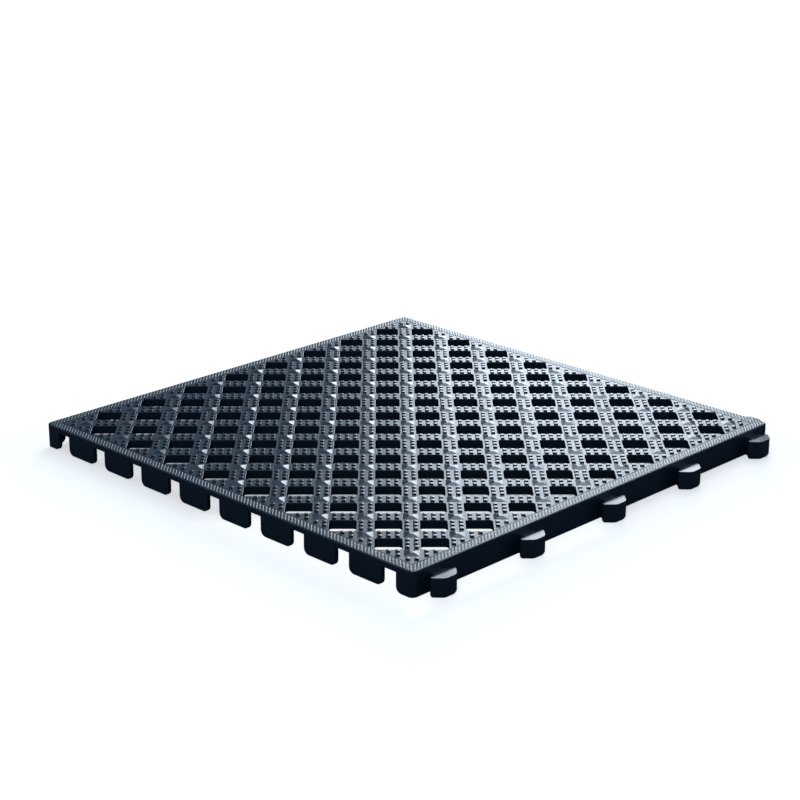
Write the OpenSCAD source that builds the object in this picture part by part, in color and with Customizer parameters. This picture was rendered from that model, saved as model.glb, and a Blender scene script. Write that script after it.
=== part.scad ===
// Interlocking open-grid floor tile, moulded in one piece from flexible vinyl.
// The tile lies flat, walking side up, with its sides along X and Y and the floor at z = 0.
// The origin is on the floor under the middle of the square, without the lugs.
// The +X and +Y sides carry lugs; the -X and -Y sides carry the sockets that take them.

/* [Tile] */
// Side of the square, which is also the laying module
tile_side = 457.2; // [430:0.1:560]
// Height from the floor to the flat of the walking side
tile_height = 22.2; // [19:0.1:32]
// Radius of the four upright corners
corner_radius = 5; // [3:0.1:6]

/* [Grid] */
// Rows of openings between the middle of the tile and one of its corners, and sockets on a side
half_rows = 9; // [7:1:9]
// Thickness of the grid plate
plate_thickness = 6.9; // [6:0.1:9]
// Width of a grid bar between two openings
bar_width = 14.4; // [14.2:0.1:17]
// Radius of the corners of an opening
opening_radius = 2.6; // [2:0.1:4]

/* [Crossings] */
// Flat left round the low blunt pyramid on a crossing, out to the bar's edge
pyramid_margin = 1; // [0.2:0.1:3]
// Height of the pyramid above the walking side
pyramid_height = 1.2; // [0.4:0.1:2.5]
// Width of the flat on top of the pyramid
pyramid_flat = 3; // [1:0.1:6]
// Flat left round the foot under a crossing, out to the bar's edge
foot_margin = 1.2; // [0.6:0.1:3]
// Narrowing of a foot from the plate down to the floor, on each side
foot_taper = 1; // [0.2:0.1:2]

/* [Walls] */
// Thickness of the wall round the tile
wall_thickness = 3.7; // [2.5:0.1:5]
// Gap between the wall and the floor, which lets water run out
wall_lift = 0.5; // [0.2:0.1:1.5]
// Radius of the lower corners of the wall beside a socket
wall_corner_radius = 3.8; // [1:0.1:6]

/* [Rim] */
// Width of the flat rim round the walking side
rim_width = 10.2; // [8:0.1:10.2]
// Width of the groove between the rim and the grid
groove_width = 0.8; // [0.5:0.1:1]
// Depth of that groove
groove_depth = 0.5; // [0.3:0.1:1]

/* [Interlock] */
// Distance that a lug stands out from its wall
lug_reach = 16.2; // [14:0.1:17]
// Drop from the walking side to the flat top of a lug
lug_drop = 5.6; // [4:0.1:8]
// Width of the neck that joins a lug to its wall
neck_width = 14; // [10:0.1:15]
// Width of a lug's head where it is widest
head_width = 29.6; // [22:0.1:31]
// Width of a lug's flat outer face
nose_width = 9.6; // [6:0.1:14]
// Distance from the neck's end out to the widest place of the head
shoulder_length = 2.4; // [1:0.1:4]
// Slope at the foot of a lug
lug_chamfer = 1.2; // [0.4:0.1:2]
// Clearance between a lug and what it fits in, on each side
fit_clearance = 0.5; // [0.3:0.1:0.6]
// Clearance above a lug's top, under the next tile's rim
top_clearance = 0.4; // [0.2:0.1:0.8]

/* [Hidden] */
$fn = 48;
// The grid stands corner to corner across the square
pitch = tile_side / (half_rows * sqrt(2));
opening_side = pitch - bar_width;
pyramid_side = bar_width - 2 * pyramid_margin;
foot_diameter = bar_width - 2 * foot_margin;
plate_bottom = tile_height - plate_thickness;
lug_top = tile_height - lug_drop;
// A neck spans the next tile's wall, and its head hooks behind that wall
neck_length = wall_thickness + fit_clearance;
head_start = neck_length + shoulder_length;
socket_spacing = tile_side / half_rows;
socket_width = neck_width + 2 * fit_clearance;
socket_top = lug_top + top_clearance;
pocket_width = head_width + 2 * fit_clearance;
pocket_reach = lug_reach + fit_clearance;
// How far one solid runs into the next where they join
overlap = 0.8;
// How far a cut passes a face
past = 1;

// A square with round corners, centred on the origin
module rounded_square(side, radius) {
    inner = side - 2 * radius;
    square([side, inner], center = true);
    square([inner, side], center = true);
    for (x = [-1, 1], y = [-1, 1])
        translate([x * inner / 2, y * inner / 2])
            circle(radius);
}

// Every opening of the grid, which lies at 45 degrees to the sides
module openings_plan() {
    rotate(45)
        for (i = [0 : half_rows - 2], j = [0 : half_rows - 2 - i], su = [-1, 1], sv = [-1, 1])
            translate([su * (i + 0.5) * pitch, sv * (j + 0.5) * pitch])
                rounded_square(opening_side, opening_radius);
}

// The plate with its openings
module grid_plate() {
    translate([0, 0, plate_bottom])
        linear_extrude(plate_thickness)
            difference() {
                rounded_square(tile_side, corner_radius);
                openings_plan();
            }
}

// The groove that parts the ribbed rim from the grid
module rim_groove() {
    outer = tile_side - 2 * rim_width;
    translate([0, 0, tile_height - groove_depth])
        linear_extrude(groove_depth + past)
            difference() {
                square(outer, center = true);
                square(outer - 2 * groove_width, center = true);
            }
}

// Places its children at every crossing of the bars
module at_crossings() {
    rotate(45)
        for (i = [1 - half_rows : half_rows - 1])
            for (j = [abs(i) + 1 - half_rows : half_rows - 1 - abs(i)])
                translate([i * pitch, j * pitch, 0])
                    children();
}

// A tapered foot from the floor up into the plate, with the same slope all the way
module foot() {
    slope = 2 * foot_taper / plate_bottom;
    cylinder(h = plate_bottom + overlap, d1 = foot_diameter - 2 * foot_taper, d2 = foot_diameter + slope * overlap);
}

// One long ridge along X with a flat top, whose slopes start at the walking side
module ridge() {
    eave = pyramid_side / 2;
    crest = pyramid_flat / 2;
    rotate([90, 0, 90])
        linear_extrude(tile_side * 2, center = true)
            polygon([
                [-eave, tile_height - overlap], [eave, tile_height - overlap], [eave, tile_height],
                [crest, tile_height + pyramid_height], [-crest, tile_height + pyramid_height], [-eave, tile_height]
            ]);
}

// The blunt pyramids: a ridge one way cut by ridges the other way leaves one on each crossing
module pyramids() {
    rotate(45)
        for (i = [1 - half_rows : half_rows - 1])
            intersection() {
                translate([i * pitch, 0, 0])
                    rotate(90)
                        ridge();
                for (j = [abs(i) + 1 - half_rows : half_rows - 1 - abs(i)])
                    translate([0, j * pitch, 0])
                        ridge();
            }
}

// The wall round the tile, up into the edge of the plate
module wall_ring() {
    translate([0, 0, wall_lift])
        linear_extrude(plate_bottom + overlap - wall_lift)
            difference() {
                rounded_square(tile_side, corner_radius);
                square(tile_side - 2 * wall_thickness, center = true);
            }
}

// Outline of a socket's mouth seen from outside, with the wall's lower corners rounded beside it
module socket_mouth() {
    radius = wall_corner_radius;
    translate([-socket_width / 2, -past])
        square([socket_width, socket_top + past]);
    difference() {
        translate([-socket_width / 2 - radius, -past])
            square([socket_width + 2 * radius, wall_lift + radius + past]);
        for (side = [-1, 1])
            translate([side * (socket_width / 2 + radius), wall_lift + radius])
                circle(radius);
    }
}

// One socket of the -Y side: the mouth through the wall and the pocket for a lug's head behind it
module socket() {
    translate([0, wall_thickness, 0])
        rotate([90, 0, 0])
            linear_extrude(wall_thickness + past)
                socket_mouth();
    translate([-pocket_width / 2, wall_thickness, 0])
        cube([pocket_width, pocket_reach - wall_thickness, socket_top]);
}

// The row of sockets of the -Y side
module socket_row() {
    for (k = [0 : half_rows - 1])
        translate([(k + 0.5) * socket_spacing - tile_side / 2, -tile_side / 2, 0])
            socket();
}

// Plan of a lug that stands out in +Y: neck, shoulders, slanted cheeks and flat nose
module lug_plan() {
    polygon([
        [-neck_width / 2, -overlap], [neck_width / 2, -overlap], [neck_width / 2, neck_length],
        [head_width / 2, head_start], [nose_width / 2, lug_reach],
        [-nose_width / 2, lug_reach], [-head_width / 2, head_start], [-neck_width / 2, neck_length]
    ]);
}

// Height profile of a lug from one end to the other, with a slope at the foot of each end
module lug_profile(low_end, high_end) {
    polygon([
        [low_end, lug_top], [low_end, lug_chamfer], [low_end + lug_chamfer, 0],
        [high_end - lug_chamfer, 0], [high_end, lug_chamfer], [high_end, lug_top]
    ]);
}

// One lug of the +Y side: its plan cut by its side view and its front view
module lug() {
    intersection() {
        linear_extrude(lug_top)
            lug_plan();
        rotate([90, 0, 90])
            linear_extrude(head_width + past, center = true)
                lug_profile(-overlap - lug_chamfer, lug_reach);
        rotate([90, 0, 0])
            linear_extrude(3 * lug_reach, center = true)
                lug_profile(-head_width / 2, head_width / 2);
    }
}

// The row of lugs of the +Y side, one for every other socket
module lug_row() {
    for (k = [0 : 2 : half_rows - 1])
        translate([(k + 0.5) * socket_spacing - tile_side / 2, tile_side / 2, 0])
            lug();
}

// Draws its children and their mirror image across the line x = y
module both_ways() {
    children();
    mirror([1, -1, 0])
        children();
}

module floor_tile() {
    color("#101820")
        union() {
            difference() {
                union() {
                    grid_plate();
                    wall_ring();
                }
                both_ways() socket_row();
                rim_groove();
            }
            at_crossings() foot();
            pyramids();
            both_ways() lug_row();
        }
}

floor_tile();
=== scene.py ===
# %% [markdown]
# An interlocking floor tile in black-navy vinyl. The real tile comes out of one mould: a grid plate
# that stands corner to corner in a square wall, feet below the crossings, and small relief on top.
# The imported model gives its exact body, with sharp edges. This script gives what the mould's soft
# edges and its fine relief add, because they are what catches the light.
# All lengths below are in millimetres. They turn into metres once, when a mesh is made.

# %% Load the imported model
import math
import bpy
import numpy as np
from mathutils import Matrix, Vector
from mathutils.geometry import delaunay_2d_cdt


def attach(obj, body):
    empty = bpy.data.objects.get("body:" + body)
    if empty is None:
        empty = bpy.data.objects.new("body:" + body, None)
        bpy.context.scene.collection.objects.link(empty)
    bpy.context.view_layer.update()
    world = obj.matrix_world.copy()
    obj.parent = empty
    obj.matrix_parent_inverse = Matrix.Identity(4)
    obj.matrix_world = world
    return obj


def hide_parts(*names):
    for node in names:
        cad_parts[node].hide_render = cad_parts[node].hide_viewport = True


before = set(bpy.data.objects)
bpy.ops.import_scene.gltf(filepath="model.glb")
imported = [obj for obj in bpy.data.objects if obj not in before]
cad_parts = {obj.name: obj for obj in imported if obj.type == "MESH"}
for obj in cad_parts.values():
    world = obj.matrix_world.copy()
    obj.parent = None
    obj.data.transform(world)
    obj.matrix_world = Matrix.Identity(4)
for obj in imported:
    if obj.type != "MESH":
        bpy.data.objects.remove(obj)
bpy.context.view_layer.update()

# %% [markdown]
# The tile's sizes follow from its laying module. Nine rows of openings fit between its middle and
# each corner, so the diagonal pitch is the side over nine root two, and everything else lines up.

# %% Sizes of the tile
MM = 0.001
SIDE = 457.2
HALF = SIDE / 2
TOP = 22.2
ROWS = 9
PITCH = SIDE / (ROWS * math.sqrt(2))
BAR = 14.4
OPENING = PITCH - BAR
PLATE_BOTTOM = TOP - 7.7
WALL = 3.7
WALL_LIFT = 0.5
MODULE = SIDE / ROWS
NECK = 14.0
CLEAR = 0.5
SOCKET = NECK + 2 * CLEAR
SOCKET_TOP = TOP - 5.2
CORNER_RADIUS = 5.0
print("pitch", round(PITCH, 2), "opening", round(OPENING, 2), "socket every", round(MODULE, 2), "mm")

# %% [markdown]
# Every shape here is a grid of points: rows times columns, where a row may close on itself.
# Four neighbours make a face. Writing whole arrays into the mesh is quick, even for thousands of
# copies, because a copy is the same grid moved, and its faces are the same numbers moved on.

# %% Grids of points and their faces
def grid_faces(rows, columns, closed=True):
    """Faces between neighbouring rows and columns; a closed row joins its last column to its first."""
    last = columns if closed else columns - 1
    row, column = np.meshgrid(np.arange(rows - 1), np.arange(last), indexing="ij")
    following = (column + 1) % columns
    corners = (row * columns + column, row * columns + following,
               (row + 1) * columns + following, (row + 1) * columns + column)
    return np.stack(corners, -1).reshape(-1, 4)


def copies(points, faces, places):
    """The same shape at each place: its points moved there, its faces' numbers moved on."""
    places = np.column_stack([places, np.zeros(len(places))])
    moved = points[None, :, :] + places[:, None, :]
    step = (np.arange(len(places)) * len(points))[:, None, None]
    return moved.reshape(-1, 3), (faces[None, :, :] + step).reshape(-1, 4)


def join(parts):
    """Several shapes as one: their points one after the other, their faces' numbers moved on."""
    starts = np.cumsum([0] + [len(points) for points, _ in parts])
    faces = [part_faces + start for (_, part_faces), start in zip(parts, starts)]
    return np.vstack([points for points, _ in parts]), np.vstack(faces)


def stack_rows(outlines, heights):
    """Outlines in a plan, each at its height, as the rows of one grid that closes on itself."""
    rows = [np.column_stack([outline, np.full(len(outline), height)])
            for outline, height in zip(outlines, heights)]
    return np.vstack(rows), grid_faces(len(rows), len(outlines[0]))

# %% [markdown]
# A sharp edge shows no highlight, and a real moulding has none. So every edge that the light meets
# is a small arc of three or four faces. The flats beside it must stay flat: at each corner of a face
# the normal is the sum of its neighbours' normals, each as strong as its face is large, and only of
# the neighbours that turn less than 40 degrees from it.

# %% Normals that keep flats flat
def corner_normals(points, faces):
    """Area-weighted normal at each face corner, over the faces that meet there under 40 degrees."""
    corners = points[faces]
    across = np.cross(corners[:, 2] - corners[:, 0], corners[:, 3] - corners[:, 1])
    unit = across / np.maximum(np.linalg.norm(across, axis=1), 1e-12)[:, None]
    vertex = faces.ravel()
    face = np.repeat(np.arange(len(faces)), 4)
    order = np.argsort(vertex, kind="stable")
    count = np.bincount(vertex, minlength=len(points))
    start = np.concatenate([[0], np.cumsum(count)[:-1]])
    mates = count[vertex]
    one = np.repeat(np.arange(len(vertex)), mates)
    step = np.arange(len(one)) - np.repeat(np.cumsum(mates) - mates, mates)
    other = order[start[vertex[one]] + step]
    near = (unit[face[one]] * unit[face[other]]).sum(1) > math.cos(math.radians(40))
    one, other = one[near], other[near]
    total = np.stack([np.bincount(one, across[face[other], axis], len(vertex)) for axis in range(3)], -1)
    return total / np.maximum(np.linalg.norm(total, axis=1), 1e-12)[:, None]


def edge_softness(points, faces, normals):
    """One on the small faces of an outer soft edge, none on the flats: how far a face turns from its normals."""
    corners = points[faces]
    across = np.cross(corners[:, 2] - corners[:, 0], corners[:, 3] - corners[:, 1])
    unit = across / np.maximum(np.linalg.norm(across, axis=1), 1e-12)[:, None]
    turn = 1 - (normals * unit[:, None, :]).sum(2).min(1)
    return np.repeat(np.clip(turn * 25, 0, 1)[:, None], 4, axis=1)


# %% [markdown]
# A piece is made from its points and faces in one go. Points that fall together become one first,
# and a face that has lost a corner by it becomes a triangle.

# %% Making a mesh piece
def make_piece(name, shape, smooth_and_sheen_height=None):
    """A mesh object from a shape in millimetres, with the normals above; faces at one height may count as rubbed
    smooth and get the painted sheen.
    """
    points, faces = shape
    keys = np.round(points / 0.002).astype(np.int64)
    _, first, number = np.unique(keys, axis=0, return_index=True, return_inverse=True)
    points, faces = points[first] * MM, number.reshape(-1)[faces]
    keep = faces != np.roll(faces, -1, axis=1)
    whole = keep.sum(1) > 2
    faces, keep = faces[whole], keep[whole]
    sides = keep.sum(1)
    normals = corner_normals(points, faces).reshape(-1, 4, 3)
    softness = edge_softness(points, faces, normals)
    if smooth_and_sheen_height is not None:
        top = np.abs(points[faces][:, :, 2] - smooth_and_sheen_height * MM).max(1) < 1e-5
        softness[top] = 1
    softness = softness[keep]
    normals = normals[keep]
    mesh = bpy.data.meshes.new(name)
    mesh.vertices.add(len(points))
    mesh.vertices.foreach_set("co", points.astype(np.float32).ravel())
    mesh.loops.add(int(sides.sum()))
    mesh.loops.foreach_set("vertex_index", faces[keep].astype(np.int32))
    mesh.polygons.add(len(sides))
    mesh.polygons.foreach_set("loop_start", np.concatenate([[0], np.cumsum(sides)[:-1]]).astype(np.int32))
    mesh.update(calc_edges=True)
    mesh.polygons.foreach_set("use_smooth", np.ones(len(sides), bool))
    mesh.normals_split_custom_set(normals.astype(np.float32))
    edge = mesh.attributes.new("edge", "FLOAT", "CORNER")
    edge.data.foreach_set("value", softness.astype(np.float32))
    if mesh.validate():
        print(name, "had faces that Blender mended")
    piece = bpy.data.objects.new(name, mesh)
    bpy.context.scene.collection.objects.link(piece)
    print(name, "triangles:", int((sides - 2).sum()))
    return piece


# %% [markdown]
# Most outlines on this tile are squares with round corners: the openings, the studs, the tile
# itself. A row of points goes round such a square, with an equal number on each corner's arc.
# The grid stands at 45 degrees to the sides, so it is laid out straight and then turned.

# %% Rounded squares and the turned grid
def rounded_square(half, radius, steps):
    """Points counter-clockwise round a square whose corners are arcs of that radius and that many steps."""
    angle = np.linspace(0, np.pi / 2, steps + 1)
    arc = np.stack([np.cos(angle), np.sin(angle)], -1) * radius + (half - radius)
    quarter = np.array([[0, 1], [-1, 0]])
    return np.vstack([arc @ np.linalg.matrix_power(quarter, turn) for turn in range(4)])


def turned(shape):
    """A shape of the diagonal grid, turned by 45 degrees into the tile's own X and Y."""
    points, faces = shape
    root = math.sqrt(0.5)
    matrix = np.array([[root, root, 0], [-root, root, 0], [0, 0, 1]])
    return points @ matrix, faces


def quarter_turns(shape, turns):
    """A shape turned about the tile's middle by that many quarters."""
    points, faces = shape
    matrix = np.array([[0, 1, 0], [-1, 0, 0], [0, 0, 1]])
    return points @ np.linalg.matrix_power(matrix, turns), faces


def diagonal_places(numbers, reach):
    """Places at these numbers of pitches along both diagonals, up to a reach from the middle."""
    u, v = np.meshgrid(numbers, numbers)
    inside = np.abs(u) + np.abs(v) < reach
    return np.stack([u[inside], v[inside]], -1) * PITCH


cells = diagonal_places(np.arange(-ROWS, ROWS) + 0.5, ROWS - 0.5)
crossings = diagonal_places(np.arange(1 - ROWS, ROWS), ROWS - 0.5)
print(len(cells), "openings and", len(crossings), "crossings")

# %% [markdown]
# A flat face with holes is filled with triangles between its outlines. A triangulation fills the
# whole convex patch, so some triangles go: three corners on one hole's outline can only be a triangle
# inside that hole, and a triangle whose middle lies outside the outline is outside the face.

# %% Filling a flat outline
def inside(points, outline):
    """Which points lie inside a closed outline, by counting the edges to the right of each."""
    (x, y), (a, b) = points.T[:, :, None], outline.T[:, None, :]
    c, d = np.roll(outline, -1, axis=0).T[:, None, :]
    level_edges = np.where(b == d, 1.0, d - b)
    crossing = ((b > y) != (d > y)) & (x < a + (c - a) * (y - b) / level_edges)
    return crossing.sum(1) % 2 == 1


def fill(outline, holes=()):
    """Triangles between a plan outline and its holes: points, faces with the last corner twice."""
    loops = [np.asarray(outline, float)] + [np.asarray(hole, float) for hole in holes]
    sizes = [len(loop) for loop in loops]
    starts = np.cumsum([0] + sizes)
    flat = np.vstack(loops)
    edges = [(int(start + k), int(start + (k + 1) % size))
             for start, size in zip(starts, sizes) for k in range(size)]
    result = delaunay_2d_cdt([Vector(point) for point in flat], edges, [], 1, 1e-6, True)
    back = np.array([ids[0] for ids in result[3]])
    faces = back[np.array(result[2])]
    loop_of = np.repeat(np.arange(len(loops)), sizes)[faces]
    in_hole = (loop_of[:, 0] > 0) & (loop_of[:, 0] == loop_of[:, 1]) & (loop_of[:, 1] == loop_of[:, 2])
    faces = faces[~in_hole & inside(flat[faces].mean(1), loops[0])]
    return flat, np.hstack([faces, faces[:, 2:3]])


def level(filled, height, facing_up=True):
    """A filled outline at a height, facing up or down."""
    flat, faces = filled
    points = np.column_stack([flat, np.full(len(flat), height)])
    return points, faces if facing_up else faces[:, ::-1]


# %% [markdown]
# The openings come first. One opening is a profile led round a rounded square: from the walking side
# over a soft edge, down the bar's flank and out over the lower edge.

# %% The openings
EDGE = 0.4
LOWER_EDGE = 0.15
OPENING_RADIUS = 2.6


def arc_profile(radius, steps):
    """Offsets and drops along a rounded edge, from the flat (radius, 0) to the flank (0, radius)."""
    angle = np.linspace(0, np.pi / 2, steps + 1)
    return radius * (1 - np.sin(angle)), radius * (1 - np.cos(angle))


def opening_outline(offset):
    """Outline of one opening, that much wider on each side and less at its corners, to clear the groove."""
    return rounded_square(OPENING / 2 + offset, OPENING_RADIUS + 2 * offset, 6)


out, down = arc_profile(EDGE, 3)
low_out, low_up = arc_profile(LOWER_EDGE, 2)
offsets = np.concatenate([out, low_out[::-1]])
heights = np.concatenate([TOP - down, PLATE_BOTTOM + low_up[::-1]])
one_opening = stack_rows([opening_outline(offset) for offset in offsets], heights)
opening_tubes = turned(copies(*one_opening, cells))
print("one opening has", len(one_opening[1]), "faces")


def opening_holes(offset):
    """The outlines of all openings in the tile's own X and Y, for a fill."""
    ring = np.column_stack([opening_outline(offset), np.zeros(28)])
    points, _ = turned(copies(ring, np.zeros((1, 4), int), cells))
    return points[:, :2].reshape(len(cells), -1, 2)


# %% [markdown]
# The rim goes round the tile in one profile: up the outside, over a soft edge, across the rim, through
# the groove and up to the grid's level.

# %% The rim and its groove
RIM = 10.2
GROOVE = 0.8
GROOVE_DEPTH = 0.5
RIM_EDGE = 0.9
INNER = HALF - WALL


def tile_outline(inset):
    """The tile's outline moved inwards, with seven points on each corner."""
    return rounded_square(HALF - inset, max(CORNER_RADIUS - inset, 0), 6)


inset, drop = arc_profile(RIM_EDGE, 4)
rim_insets = np.concatenate([inset[::-1], [RIM, RIM, RIM + GROOVE, RIM + GROOVE]])
rim_heights = np.concatenate([TOP - drop[::-1], [TOP, TOP - GROOVE_DEPTH, TOP - GROOVE_DEPTH, TOP]])
print("rim profile", np.round(rim_insets, 2), np.round(rim_heights, 2))
rim = stack_rows([tile_outline(value) for value in rim_insets], rim_heights)
inner_square = HALF - RIM - GROOVE
square = np.array([[-1, -1], [1, -1], [1, 1], [-1, 1]]) * inner_square
top_sheet = level(fill(square, opening_holes(EDGE)), TOP)
print("walking side:", len(top_sheet[1]), "triangles between the openings")

# %% [markdown]
# The walls stand under the rim. On two sides each wall has nine sockets, open at the floor, so its
# lower edge is one long path: along the floor gap, round the lower corner of a block, up the
# socket's flank, across its top and down again. Offsetting that path gives the soft edge.

# %% The lower edge of a wall
BLOCK_RADIUS = 5.4
WALL_EDGE = 0.45
SIDE_TOP = TOP - RIM_EDGE
SIDE_END = HALF - CORNER_RADIUS
POCKET = 30.6
POCKET_REACH = 16.7
socket_middles = (np.arange(ROWS) + 0.5) * MODULE - HALF


def lower_path(middles):
    """The wall's lower edge as points (along, height), rising round each socket."""
    angle = np.linspace(-np.pi / 2, 0, 7)
    left = np.stack([np.cos(angle), np.sin(angle)], -1) * BLOCK_RADIUS
    left += [-SOCKET / 2 - BLOCK_RADIUS, WALL_LIFT + BLOCK_RADIUS]
    mouth = np.vstack([left, [[-SOCKET / 2, SOCKET_TOP], [SOCKET / 2, SOCKET_TOP]], left[::-1] * [-1, 1]])
    parts = [[[-SIDE_END, WALL_LIFT]]] + [mouth + [middle, 0] for middle in middles] + [[[SIDE_END, WALL_LIFT]]]
    return np.vstack(parts)


def offset_path(path, distance):
    """The path moved to its left by a distance, with its corners mitred."""
    along = np.diff(path, axis=0)
    along /= np.linalg.norm(along, axis=1)[:, None]
    left = np.stack([-along[:, 1], along[:, 0]], -1)
    before, after = np.vstack([left[:1], left]), np.vstack([left, left[-1:]])
    mitre = (before + after) / (1 + (before * after).sum(1))[:, None]
    return path + mitre * distance


def on_side(flat, inset):
    """Points (along, height) of the -Y side, at an inset from its outer face."""
    return np.column_stack([flat[:, 0], np.full(len(flat), inset - HALF), flat[:, 1]])


# %% [markdown]
# A wall is three surfaces: the outer face, the inner face, and between them the band that follows the
# lower path through the wall's thickness. The inner face steps up where a pocket is recessed into the
# plate behind a socket, and the recess gets its own ceiling and sides.

# %% Walls, sockets and pockets
def wall(middles):
    """Outer face, lower band and inner face of the -Y side's wall."""
    path = lower_path(middles)
    rows = [on_side(path, WALL)]
    for back, up in zip(*[values[::-1] for values in arc_profile(WALL_EDGE, 3)]):
        rows.append(on_side(offset_path(path, back), up))
    band = np.vstack(rows), grid_faces(len(rows), len(path), closed=False)
    outer = np.vstack([offset_path(path, WALL_EDGE), [[SIDE_END, SIDE_TOP], [-SIDE_END, SIDE_TOP]]])
    flat, faces = fill(outer)
    parts = [band, (on_side(flat, 0), faces)]
    for points in inner_blocks(middles):
        flat, faces = fill(points)
        parts.append((on_side(flat, WALL), faces[:, ::-1]))
    return join(parts)


def inner_blocks(middles):
    """Outlines of the inner face, block by block, each up to the plate or into the pockets."""
    path = lower_path(middles)
    tops = np.flatnonzero(path[:, 1] > SOCKET_TOP - 0.01)
    starts = np.concatenate([[0], tops[1::2]])
    ends = np.concatenate([tops[0::2], [len(path) - 1]])
    side = POCKET / 2 - SOCKET / 2
    for start, end in zip(starts, ends):
        points = path[start:end + 1]
        roof = []
        if points[-1, 1] > WALL_LIFT:
            roof += [[points[-1, 0] - side, SOCKET_TOP], [points[-1, 0] - side, PLATE_BOTTOM]]
        else:
            roof += [[SIDE_END, PLATE_BOTTOM]]
        if points[0, 1] > WALL_LIFT:
            roof += [[points[0, 0] + side, PLATE_BOTTOM], [points[0, 0] + side, SOCKET_TOP]]
        else:
            roof += [[-SIDE_END, PLATE_BOTTOM]]
        yield np.vstack([points, roof])


def recess(sides, ceiling):
    """A recess in the plate's underside: its sides along plan paths, with air on their right, and a ceiling."""
    parts = []
    for path in sides:
        low = np.column_stack([path, np.full(len(path), PLATE_BOTTOM)])
        parts.append((np.vstack([low, low + [0, 0, SOCKET_TOP - PLATE_BOTTOM]]), grid_faces(2, len(path), closed=False)))
    return join(parts + [level(fill(ceiling), SOCKET_TOP, facing_up=False)])


NEAR, FAR = WALL - HALF, POCKET_REACH - HALF
notch = np.array([[-POCKET / 2, NEAR], [-POCKET / 2, FAR], [POCKET / 2, FAR], [POCKET / 2, NEAR]])
mouth_ends = np.array([[SOCKET / 2, NEAR], [-SOCKET / 2, NEAR]])


def pocket(middle):
    """The recess behind one socket of the -Y side."""
    side = notch + [middle, 0]
    return recess([side], np.vstack([side, mouth_ends + [middle, 0]])[::-1])


def corner_pocket(middle):
    """The first pockets of the two socket sides, which meet round a small post in their corner."""
    bend = notch[2:] + [middle, 0]
    outside = np.vstack([bend[::-1][:, ::-1], [[FAR, FAR]], bend])
    post = middle - POCKET / 2
    inside = np.array([[post, NEAR], [post, post], [NEAR, post]])
    mouth = mouth_ends + [middle, 0]
    return recess([outside, inside], np.vstack([outside, mouth, inside, mouth[::-1][:, ::-1]])[::-1]), post


none = np.zeros(0)
socket_wall, plain_wall = wall(socket_middles), wall(none)
pockets_y = join([pocket(middle) for middle in socket_middles[1:]])
pockets_x = quarter_turns(join([pocket(middle) for middle in socket_middles[:-1]]), 3)
meeting_pockets, post = corner_pocket(socket_middles[0])
walls = join([socket_wall, quarter_turns(plain_wall, 1), quarter_turns(plain_wall, 2),
              quarter_turns(socket_wall, 3), pockets_y, pockets_x, meeting_pockets])

# %% [markdown]
# The four upright corners close the wall, and the underside of the plate closes the body. Its outline
# leaves out the pockets.

# %% Corners and underside
def upright_corner():
    """The corner at +X +Y: down its inner faces, out under its lower edge and up to the rim."""
    back, up = [values[::-1] for values in arc_profile(WALL_EDGE, 3)]
    inner = np.full((7, 2), INNER)
    inner[0, 1] = inner[-1, 0] = SIDE_END
    outlines = [inner, inner] + [tile_outline(value)[:7] for value in up] + [tile_outline(0)[:7]]
    heights = np.concatenate([[PLATE_BOTTOM, WALL_LIFT], WALL_LIFT + back, [SIDE_TOP]])
    rows = [np.column_stack([outline, np.full(7, height)]) for outline, height in zip(outlines, heights)]
    return np.vstack(rows), grid_faces(len(rows), 7, closed=False)


corners = join([quarter_turns(upright_corner(), turn) for turn in range(4)])


def underside_edge(middles):
    """One side of the underside's outline, from its left corner, round the pockets."""
    return np.vstack([[[-INNER, NEAR]]] + [notch + [middle, 0] for middle in middles])


quarter = np.array([[0, 1], [-1, 0]])
underside_outline = np.vstack([
    underside_edge(middles) @ np.linalg.matrix_power(quarter, turn)
    for turn, middles in enumerate([socket_middles, none, none, socket_middles])])
# The two pockets that meet share one inner corner in place of the five points round their post
underside_outline = np.vstack([underside_outline[3:-2], [[FAR, FAR]]])
post_end = np.array([[NEAR, NEAR], [post, NEAR], [post, post], [NEAR, post]])
underside = join([level(fill(underside_outline, opening_holes(LOWER_EDGE)), PLATE_BOTTOM, facing_up=False),
                  level(fill(post_end), PLATE_BOTTOM, facing_up=False)])
body = make_piece("body", join([opening_tubes, top_sheet, rim, walls, corners, underside]))

# %% [markdown]
# Under every crossing stands a foot. It is turned: a profile of radius against height, led round.
# Its edge on the floor is soft, and it flares a little where it meets the plate.

# %% Feet
foot_radii = np.array([0, 4.55, 4.85, 5.0, 5.95, 6.15, 6.7])
foot_heights = np.array([0, 0, 0.12, 0.45, PLATE_BOTTOM - 0.8, PLATE_BOTTOM - 0.2, PLATE_BOTTOM + 0.05])
angle = np.linspace(0, 2 * np.pi, 20, endpoint=False)
circle = np.stack([np.cos(angle), np.sin(angle)], -1)
one_foot = stack_rows([circle * radius for radius in foot_radii], foot_heights)
feet = make_piece("feet", turned(copies(*one_foot, crossings)))

# %% [markdown]
# On every crossing lies a low blunt pyramid, and between the crossings six small square studs stand
# on each bar, two across and three along. Both are stacks of rounded squares. The studs stop where
# the rim's edge would cut them.

# %% Pyramids and studs
PYRAMID = 12.4
PYRAMID_FLAT = 3.0
PYRAMID_HEIGHT = 1.2
STUD = 3.6
STUD_HEIGHT = 1.18
STUD_STEP = 6.9


def capped(outlines, heights):
    """A stack of outlines with a flat top, whose faces meet in the middle."""
    return stack_rows(list(outlines) + [outlines[-1] * 0], list(heights) + [heights[-1]])


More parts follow.
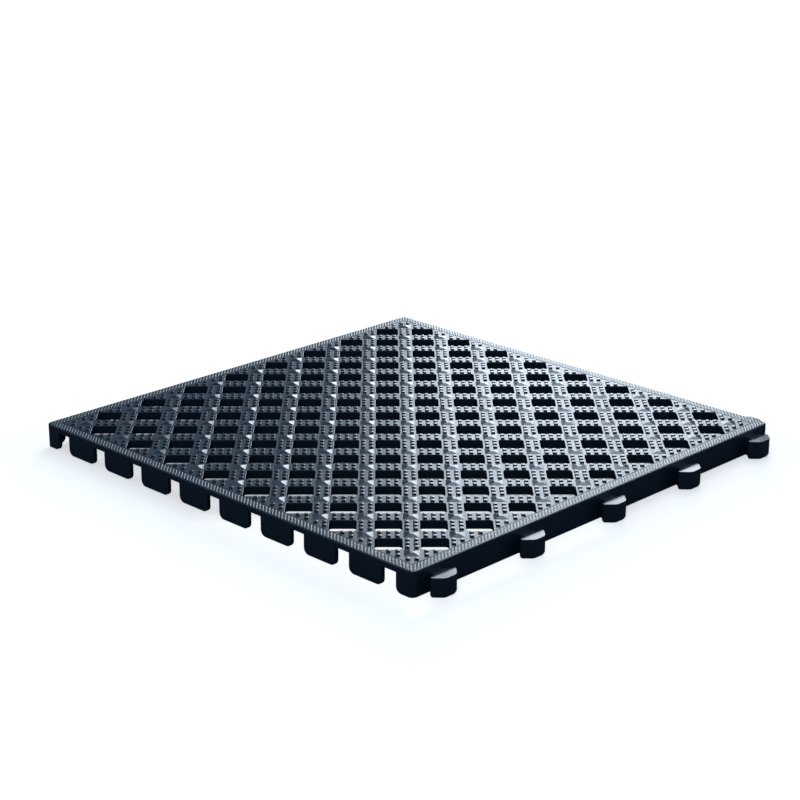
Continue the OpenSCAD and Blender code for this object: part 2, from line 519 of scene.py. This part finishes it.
pyramid_halves = [PYRAMID / 2 + 0.12, PYRAMID / 2 - 0.12, PYRAMID_FLAT / 2 + 0.18, PYRAMID_FLAT / 2 - 0.15]
pyramid_rise = [-0.01, 0.02, PYRAMID_HEIGHT - 0.03, PYRAMID_HEIGHT]
one_pyramid = capped([rounded_square(half, 0.3, 2) for half in pyramid_halves],
                     [TOP + rise for rise in pyramid_rise])
pyramids = make_piece("pyramids", turned(copies(*one_pyramid, crossings)))

stud_halves = [STUD / 2, STUD / 2 - 0.05, STUD / 2 - 0.1, STUD / 2 - 0.38]
stud_rise = [-0.01, STUD_HEIGHT - 0.3, STUD_HEIGHT - 0.1, STUD_HEIGHT]
one_stud = capped([rounded_square(half, 0.35, 1) for half in stud_halves],
                  [TOP + rise for rise in stud_rise])
lengthwise, crosswise = np.meshgrid([-STUD_STEP, 0, STUD_STEP], [-STUD_STEP / 2, STUD_STEP / 2])
six = np.stack([lengthwise.ravel(), crosswise.ravel()], -1)
half_numbers = np.arange(-ROWS, ROWS) + 0.5
whole_numbers = np.arange(1 - ROWS, ROWS)
along_u, row_u = np.meshgrid(half_numbers, whole_numbers)
bar_middles = np.stack([along_u.ravel(), row_u.ravel()], -1) * PITCH
stud_places = (bar_middles[:, None, :] + six[None, :, :]).reshape(-1, 2)
stud_places = np.vstack([stud_places, stud_places[:, ::-1]])
reach = np.abs(stud_places).sum(1)
stud_places = stud_places[reach < (ROWS - 0.5) * PITCH + 0.1]
studs = make_piece("studs", turned(copies(*one_stud, stud_places)))
print(len(stud_places), "studs")

# %% [markdown]
# The rim is ribbed against slipping. The ribs run along one diagonal of the tile on all four sides,
# so they lean one way on two sides and the other way on the other two. Near two corners they end
# on the corner's own diagonal.

# %% Ribs on the rim
RIB_STEP = 2.67
RIB_HEIGHT = 0.2
rib_across = np.array([-1.2, -0.95, -0.55, 0.55, 0.95, 1.2]) * math.sqrt(2)
rib_rise = np.array([-0.02, RIB_HEIGHT * 0.7, RIB_HEIGHT, RIB_HEIGHT, RIB_HEIGHT * 0.7, -0.02])


def ribs_of_side(lean):
    """Ribs of the -Y side that lean to -X inwards (lean -1) or to +X (lean 1)."""
    start = np.arange(-HALF + 2, HALF - 2, RIB_STEP * math.sqrt(2))
    room = (HALF + start * -lean) / 2 if lean > 0 else (HALF + start) / 2
    end = np.minimum(RIM - 0.3, room)
    start, end = start[end > 2.2], end[end > 2.2]
    depth = np.stack([np.full(len(start), RIM_EDGE), np.full(len(start), RIM_EDGE + 0.4), end - 0.4, end], -1)
    flush = np.array([0, 1, 1, 0])
    along = start[:, None, None] + lean * depth[:, :, None] + rib_across[None, None, :]
    rise = np.where(flush[None, :, None] * rib_rise[None, None, :] > 0, rib_rise[None, None, :], -0.02)
    deep = np.broadcast_to(depth[:, :, None] - HALF, along.shape)
    points = np.stack([along, deep, TOP + np.broadcast_to(rise, along.shape)], -1).reshape(-1, 3)
    faces = grid_faces(4, 6, closed=False)
    step = (np.arange(len(start)) * 24)[:, None, None]
    return points, (faces[None] + step).reshape(-1, 4)


ribs = make_piece("ribs", join([quarter_turns(ribs_of_side(-1 if turn % 2 == 0 else 1), turn)
                                for turn in range(4)]))

# %% [markdown]
# Five lugs stand out from each of the other two sides. A lug's plan has a neck, shoulders, slanted
# cheeks and a nose. Its foot slopes in so that it finds the socket, and its top edge is soft.

# %% Lugs
LUG_TOP = TOP - 5.6
LUG_REACH = 16.2
HEAD = 30.2
NOSE = 12.4
NECK_LENGTH = WALL + CLEAR
SHOULDER = 2.4
lug_plan = np.array([
    [NECK / 2, -0.8], [NECK / 2, NECK_LENGTH], [HEAD / 2, NECK_LENGTH + SHOULDER], [NOSE / 2, LUG_REACH],
    [-NOSE / 2, LUG_REACH], [-HEAD / 2, NECK_LENGTH + SHOULDER], [-NECK / 2, NECK_LENGTH], [-NECK / 2, -0.8]])


def round_corners(outline, sizes, steps):
    """A closed outline whose corners are curves that start and end that far from each corner."""
    size = np.array(sizes)[:, None]
    before, after = np.roll(outline, 1, axis=0) - outline, np.roll(outline, -1, axis=0) - outline
    begin = outline + before / np.linalg.norm(before, axis=1)[:, None] * size
    end = outline + after / np.linalg.norm(after, axis=1)[:, None] * size
    share = np.linspace(0, 1, steps + 1)[None, :, None]
    curve = (1 - share) ** 2 * begin[:, None] + 2 * share * (1 - share) * outline[:, None] + share ** 2 * end[:, None]
    return curve.reshape(-1, 2)


def inset_loop(outline, distance):
    """A closed outline moved inwards."""
    longer = np.vstack([outline[-1:], outline, outline[:1]])
    return offset_path(longer, distance)[1:-1]


lug_outline = round_corners(lug_plan, [0.3, 1.2, 3.6, 3.2, 3.2, 3.6, 1.2, 0.3], 5)
LUG_FOOT = 1.8
top_in, top_down = arc_profile(0.45, 3)
lug_rows = [lug_outline * 0 + [0, 8], inset_loop(lug_outline, LUG_FOOT - 0.3), inset_loop(lug_outline, LUG_FOOT / 3), lug_outline]
lug_heights = [0, 0, LUG_FOOT * 0.6, LUG_FOOT * 1.3]
for back, low in zip(top_in[::-1], top_down[::-1]):
    lug_rows.append(inset_loop(lug_outline, back))
    lug_heights.append(LUG_TOP - low)
lug_rows.append(lug_outline * 0 + [0, 8])
lug_heights.append(LUG_TOP)
one_lug = stack_rows(lug_rows, lug_heights)
lug_places = np.stack([socket_middles[::2], np.full(5, HALF)], -1)
lug_row = copies(*one_lug, lug_places)
# The lug tops count as rubbed smooth, and they also get the painted sheen that lightens their colour.
lugs = make_piece("lugs", join([lug_row, quarter_turns(lug_row, 3)]), LUG_TOP)

# %% [markdown]
# The vinyl is nearly black with a little navy in it, and satin. Moulded vinyl is never quite even:
# its gloss wanders over a few centimetres, it has a fine grain, and the highest points and the edges
# are rubbed a little smoother. Those tops and edges are also painted a little lighter, as a painted
# sheen where the highlights fall. Each of the three is a node group, so that one number sets it.

# %% Node groups for the vinyl
def new_group(name, inputs, outputs):
    """An empty shader group with its named inputs and outputs, and its two end nodes."""
    group = bpy.data.node_groups.new(name, "ShaderNodeTree")
    for label, kind, value in inputs:
        socket = group.interface.new_socket(name=label, in_out="INPUT", socket_type=kind)
        if value is not None:
            socket.default_value = value
    for label, kind in outputs:
        group.interface.new_socket(name=label, in_out="OUTPUT", socket_type=kind)
    return group, group.nodes.new("NodeGroupInput"), group.nodes.new("NodeGroupOutput")


def math_node(group, operation, first, second, clamp=False):
    """A Math node between two values, each a socket or a number."""
    node = group.nodes.new("ShaderNodeMath")
    node.operation = operation
    node.use_clamp = clamp
    for socket, value in zip(node.inputs, (first, second)):
        if isinstance(value, (int, float)):
            socket.default_value = value
        else:
            group.links.new(value, socket)
    return node.outputs[0]


def noise(group, vector, scale, detail, roughness=0.5):
    """A noise texture's value at a position, scaled."""
    node = group.nodes.new("ShaderNodeTexNoise")
    node.inputs["Scale"].default_value = scale
    node.inputs["Detail"].default_value = detail
    node.inputs["Roughness"].default_value = roughness
    group.links.new(vector, node.inputs["Vector"])
    return node.outputs["Fac"]


mottle, mottle_in, mottle_out = new_group(
    "mottle", [("Position", "NodeSocketVector", None), ("Strength", "NodeSocketFloat", 0.1)],
    [("Shift", "NodeSocketFloat")])
wide = noise(mottle, mottle_in.outputs["Position"], 14, 3)
fine = noise(mottle, mottle_in.outputs["Position"], 120, 4, 0.6)
centred = math_node(mottle, "SUBTRACT", math_node(mottle, "ADD", wide, fine), 1.0)
mottle.links.new(math_node(mottle, "MULTIPLY", centred, mottle_in.outputs["Strength"]), mottle_out.inputs["Shift"])

grain, grain_in, grain_out = new_group(
    "grain", [("Position", "NodeSocketVector", None), ("Depth", "NodeSocketFloat", 0.00002),
              ("Strength", "NodeSocketFloat", 0.2)],
    [("Normal", "NodeSocketVector")])
speck = noise(grain, grain_in.outputs["Position"], 1400, 2, 0.6)
sway = noise(grain, grain_in.outputs["Position"], 90, 2)
height = math_node(grain, "ADD", math_node(grain, "MULTIPLY", speck, 0.5), math_node(grain, "MULTIPLY", sway, 2.0))
bump = grain.nodes.new("ShaderNodeBump")
grain.links.new(grain_in.outputs["Strength"], bump.inputs["Strength"])
grain.links.new(grain_in.outputs["Depth"], bump.inputs["Distance"])
grain.links.new(height, bump.inputs["Height"])
grain.links.new(bump.outputs["Normal"], grain_out.inputs["Normal"])

# This mask covers tops above a level and soft edges, in patches. It makes them smoother, and it also paints them a
# little lighter as a painted sheen.
rub_and_sheen, rub_and_sheen_in, rub_and_sheen_out = new_group(
    "rub_and_sheen", [("Position", "NodeSocketVector", None), ("Level", "NodeSocketFloat", 0.0223)],
    [("Mask", "NodeSocketFloat")])
split = rub_and_sheen.nodes.new("ShaderNodeSeparateXYZ")
rub_and_sheen.links.new(rub_and_sheen_in.outputs["Position"], split.inputs[0])
above = math_node(rub_and_sheen, "MULTIPLY", math_node(rub_and_sheen, "SUBTRACT", split.outputs["Z"], rub_and_sheen_in.outputs["Level"]), 2500, True)
edge = rub_and_sheen.nodes.new("ShaderNodeAttribute")
edge.attribute_name = "edge"
patches = math_node(rub_and_sheen, "MULTIPLY", noise(rub_and_sheen, rub_and_sheen_in.outputs["Position"], 30, 4, 0.6), 1.7, True)
tops_and_edges = math_node(rub_and_sheen, "MAXIMUM", above, edge.outputs["Fac"])
rub_and_sheen.links.new(math_node(rub_and_sheen, "MULTIPLY", tops_and_edges, patches), rub_and_sheen_out.inputs["Mask"])
knurl, knurl_in, knurl_out = new_group(
    "knurl", [("Position", "NodeSocketVector", None), ("Normal", "NodeSocketVector", None),
              ("Step", "NodeSocketFloat", 0.00267), ("Depth", "NodeSocketFloat", 0.0001)],
    [("Normal", "NodeSocketVector")])
split = knurl.nodes.new("ShaderNodeSeparateXYZ")
knurl.links.new(knurl_in.outputs["Position"], split.inputs[0])
across_x, across_y, up = split.outputs
reach = math_node(knurl, "MAXIMUM", math_node(knurl, "ABSOLUTE", across_x, 0), math_node(knurl, "ABSOLUTE", across_y, 0))
on_rim = math_node(knurl, "MULTIPLY", math_node(knurl, "GREATER_THAN", reach, (HALF - RIM) * MM),
                   math_node(knurl, "GREATER_THAN", up, (TOP + 0.05) * MM))
along = math_node(knurl, "MULTIPLY", math_node(knurl, "SUBTRACT", across_y, across_x), math.sqrt(0.5))
place = math_node(knurl, "FRACT", math_node(knurl, "DIVIDE", along, knurl_in.outputs["Step"]), 0)
from_middle = math_node(knurl, "ABSOLUTE", math_node(knurl, "SUBTRACT", place, 0.5), 0)
cut = math_node(knurl, "MULTIPLY", math_node(knurl, "SUBTRACT", from_middle, 0.36), 8, True)
bump = knurl.nodes.new("ShaderNodeBump")
bump.invert = True
knurl.links.new(knurl_in.outputs["Depth"], bump.inputs["Distance"])
knurl.links.new(math_node(knurl, "MULTIPLY", cut, on_rim), bump.inputs["Height"])
knurl.links.new(knurl_in.outputs["Normal"], bump.inputs["Normal"])
knurl.links.new(bump.outputs["Normal"], knurl_out.inputs["Normal"])
print("groups:", [group.name for group in bpy.data.node_groups])


# %% [markdown]
# The groups meet in one material, because the whole tile is one shot of the same vinyl.

# %% The vinyl
def make_vinyl():
    """Near-black navy satin vinyl."""
    material = bpy.data.materials.new("vinyl")
    material.use_nodes = True
    tree = material.node_tree
    shader = tree.nodes["Principled BSDF"]
    place = tree.nodes.new("ShaderNodeTexCoord").outputs["Object"]
    parts = {}
    for group in (mottle, grain, rub_and_sheen, knurl):
        node = tree.nodes.new("ShaderNodeGroup")
        node.node_tree = group
        tree.links.new(place, node.inputs["Position"])
        parts[group.name] = node
    # Colour A is the vinyl's own. The lighter colour B is a painted sheen on the tops and edges that the mask picks
    # out.
    colour = tree.nodes.new("ShaderNodeMix")
    colour.data_type = "RGBA"
    colour.inputs["A"].default_value = (0.0095, 0.019, 0.033, 1)
    colour.inputs["B"].default_value = (0.013, 0.022, 0.036, 1)
    tree.links.new(parts["rub_and_sheen"].outputs["Mask"], colour.inputs["Factor"])
    tree.links.new(colour.outputs["Result"], shader.inputs["Base Color"])
    rough = math_node(tree, "ADD", parts["mottle"].outputs["Shift"], 0.3)
    rubbed = math_node(tree, "SUBTRACT", rough, math_node(tree, "MULTIPLY", parts["rub_and_sheen"].outputs["Mask"], 0.14), True)
    tree.links.new(rubbed, shader.inputs["Roughness"])
    tree.links.new(parts["grain"].outputs["Normal"], parts["knurl"].inputs["Normal"])
    tree.links.new(parts["knurl"].outputs["Normal"], shader.inputs["Normal"])
    shader.inputs["IOR"].default_value = 1.5
    return material


vinyl = make_vinyl()
tile = [body, feet, pyramids, studs, ribs, lugs]
for piece in tile:
    piece.data.materials.append(vinyl)
    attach(piece, "root")
    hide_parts("floor_tile")

# %% [markdown]
# The floor is pale. The camera sees it as white with the tile's soft shadow on it, but under the tile
# near its edges and under its front it glows: painted light where the tile's shadow would fall.
# The vinyl sees it dark, because a bright floor would light the walls, and a studio keeps them black.

# %% Floor and surroundings
def make_floor():
    """A pale plane under the tile, which glows as painted light under the tile's front and edges."""
    mesh = bpy.data.meshes.new("floor")
    size = 6.0
    mesh.from_pydata([(-size, -size, 0), (size, -size, 0), (size, size, 0), (-size, size, 0)], [], [(0, 1, 2, 3)])
    floor = bpy.data.objects.new("floor", mesh)
    bpy.context.scene.collection.objects.link(floor)
    floor.location = (0, 0, -0.0002)
    material = bpy.data.materials.new("floor")
    material.use_nodes = True
    tree = material.node_tree
    tree.nodes.remove(tree.nodes["Principled BSDF"])
    output = tree.nodes["Material Output"]
    ray = tree.nodes.new("ShaderNodeLightPath")
    lit, glow, dark = (tree.nodes.new("ShaderNodeBsdfDiffuse"), tree.nodes.new("ShaderNodeEmission"),
                       tree.nodes.new("ShaderNodeBsdfDiffuse"))
    lit.inputs["Color"].default_value = (0.9, 0.8, 0.72, 1)
    glow.inputs["Color"].default_value = (0.95, 0.975, 1, 1)
    dark.inputs["Color"].default_value = (0.08, 0.08, 0.08, 1)
    split = tree.nodes.new("ShaderNodeSeparateXYZ")
    tree.links.new(tree.nodes.new("ShaderNodeTexCoord").outputs["Object"], split.inputs[0])
    x, y, _ = split.outputs
    reach = math_node(tree, "MAXIMUM", math_node(tree, "ABSOLUTE", x, 0), math_node(tree, "ABSOLUTE", y, 0))
    # The glow is painted light. It brightens the floor under the tile near its edges and under its front, where the
    # tile's shadow falls, and it rises to plain white far from the tile.
    near_edge = math_node(tree, "DIVIDE", math_node(tree, "SUBTRACT", reach, 0.13), 0.065, True)
    near_edge = math_node(tree, "MULTIPLY", math_node(tree, "POWER", near_edge, 2.0), 0.57)
    forward = math_node(tree, "MULTIPLY", math_node(tree, "SUBTRACT", x, y), math.sqrt(0.5))
    near_front = math_node(tree, "DIVIDE", math_node(tree, "SUBTRACT", forward, 0.07), 0.11, True)
    beyond = math_node(tree, "DIVIDE", math_node(tree, "SUBTRACT", reach, 0.225), 0.03, True)
    near_front = math_node(tree, "MULTIPLY", near_front,
                           math_node(tree, "SUBTRACT", 0.85, math_node(tree, "MULTIPLY", beyond, 0.28)))
    painted_floor_light = math_node(tree, "MAXIMUM", near_edge, near_front)
    outside = math_node(tree, "DIVIDE", math_node(tree, "SUBTRACT", reach, 0.24), 0.7, True)
    near_tile = math_node(tree, "ADD", painted_floor_light, 0.03)
    tree.links.new(math_node(tree, "ADD", near_tile, math_node(tree, "MULTIPLY", outside, 0.5)), glow.inputs["Strength"])
    seen, either = tree.nodes.new("ShaderNodeAddShader"), tree.nodes.new("ShaderNodeMixShader")
    tree.links.new(lit.outputs[0], seen.inputs[0])
    tree.links.new(glow.outputs[0], seen.inputs[1])
    pale = math_node(tree, "MAXIMUM", ray.outputs["Is Camera Ray"], ray.outputs["Is Transmission Ray"])
    tree.links.new(pale, either.inputs["Fac"])
    tree.links.new(dark.outputs[0], either.inputs[1])
    tree.links.new(seen.outputs[0], either.inputs[2])
    tree.links.new(either.outputs[0], output.inputs["Surface"])
    mesh.materials.append(material)
    return floor


floor = make_floor()
world = bpy.data.worlds.new("studio")
bpy.context.scene.world = world
world.use_nodes = True
tree = world.node_tree
background = tree.nodes["Background"]
ray = tree.nodes.new("ShaderNodeLightPath")
shade = tree.nodes.new("ShaderNodeMix")
shade.data_type = "RGBA"
shade.inputs["A"].default_value = (0.07, 0.14, 0.22, 1)
shade.inputs["B"].default_value = (1, 1, 1, 1)
pale = math_node(tree, "MAXIMUM", ray.outputs["Is Camera Ray"], ray.outputs["Is Transmission Ray"])
tree.links.new(pale, shade.inputs["Factor"])
tree.links.new(shade.outputs["Result"], background.inputs["Color"])

# %% [markdown]
# The photo has one large soft light behind the tile on the right and low, so its reflection fills
# the right of the walking side and fades to the left. A weak one in front shows the walls' shape.

# %% Lights
def softbox(name, azimuth, elevation, distance, width, height, power):
    """A rectangular area light that looks at the tile. Azimuth 0 is in front of the -Y side."""
    light = bpy.data.lights.new(name, "AREA")
    light.shape = "RECTANGLE"
    light.size = width
    light.size_y = height
    light.energy = power
    light.color = (0.82, 0.91, 1.0)
    lamp = bpy.data.objects.new(name, light)
    bpy.context.scene.collection.objects.link(lamp)
    turn, rise = math.radians(azimuth), math.radians(elevation)
    place = Vector((math.sin(turn) * math.cos(rise), -math.cos(turn) * math.cos(rise), math.sin(rise)))
    lamp.location = place * distance
    lamp.rotation_euler = (-place).to_track_quat("-Z", "Y").to_euler()
    return lamp


softbox("back right", 215.5, 17, 2.6, 0.74, 1.3, 16.5)
softbox("back middle", 218.8, 17, 2.6, 0.95, 1.2, 1.8)
softbox("back wide", 224, 20, 3.2, 4.4, 2.0, 4)
softbox("high right", 205.5, 47, 2.6, 1.1, 0.8, 11)
softbox("overhead", 225, 75, 2.4, 2.0, 2.0, 11)
softbox("front", 35, 30, 2.8, 1.8, 1.2, 14)
softbox("left side", 315, 18, 2.6, 1.6, 0.9, 4)
softbox("right side", 135, 18, 2.6, 1.6, 0.9, 4)

# %% [markdown]
# The camera's place was found from the openings' corners in the photo, by least squares.

# %% Camera
AZIMUTH, ELEVATION, ROLL = 44.48, 19.518, 0.18
DISTANCE = 1.8551
aim = Vector((-0.048, 0.039, 0.0222))
turn, rise = math.radians(AZIMUTH), math.radians(ELEVATION)
away = Vector((math.sin(turn) * math.cos(rise), -math.cos(turn) * math.cos(rise), math.sin(rise)))
lens = bpy.data.cameras.new("camera")
lens.lens = 90.31
lens.sensor_width = 36
lens.clip_end = 20
camera = bpy.data.objects.new("camera", lens)
bpy.context.scene.collection.objects.link(camera)
camera.location = aim + away * DISTANCE
looking = (-away).to_track_quat("-Z", "Y").to_matrix().to_4x4()
camera.rotation_euler = looking.to_euler()
camera.rotation_euler.rotate_axis("Z", math.radians(ROLL))
bpy.context.scene.camera = camera
bpy.context.scene.view_settings.view_transform = "Standard"
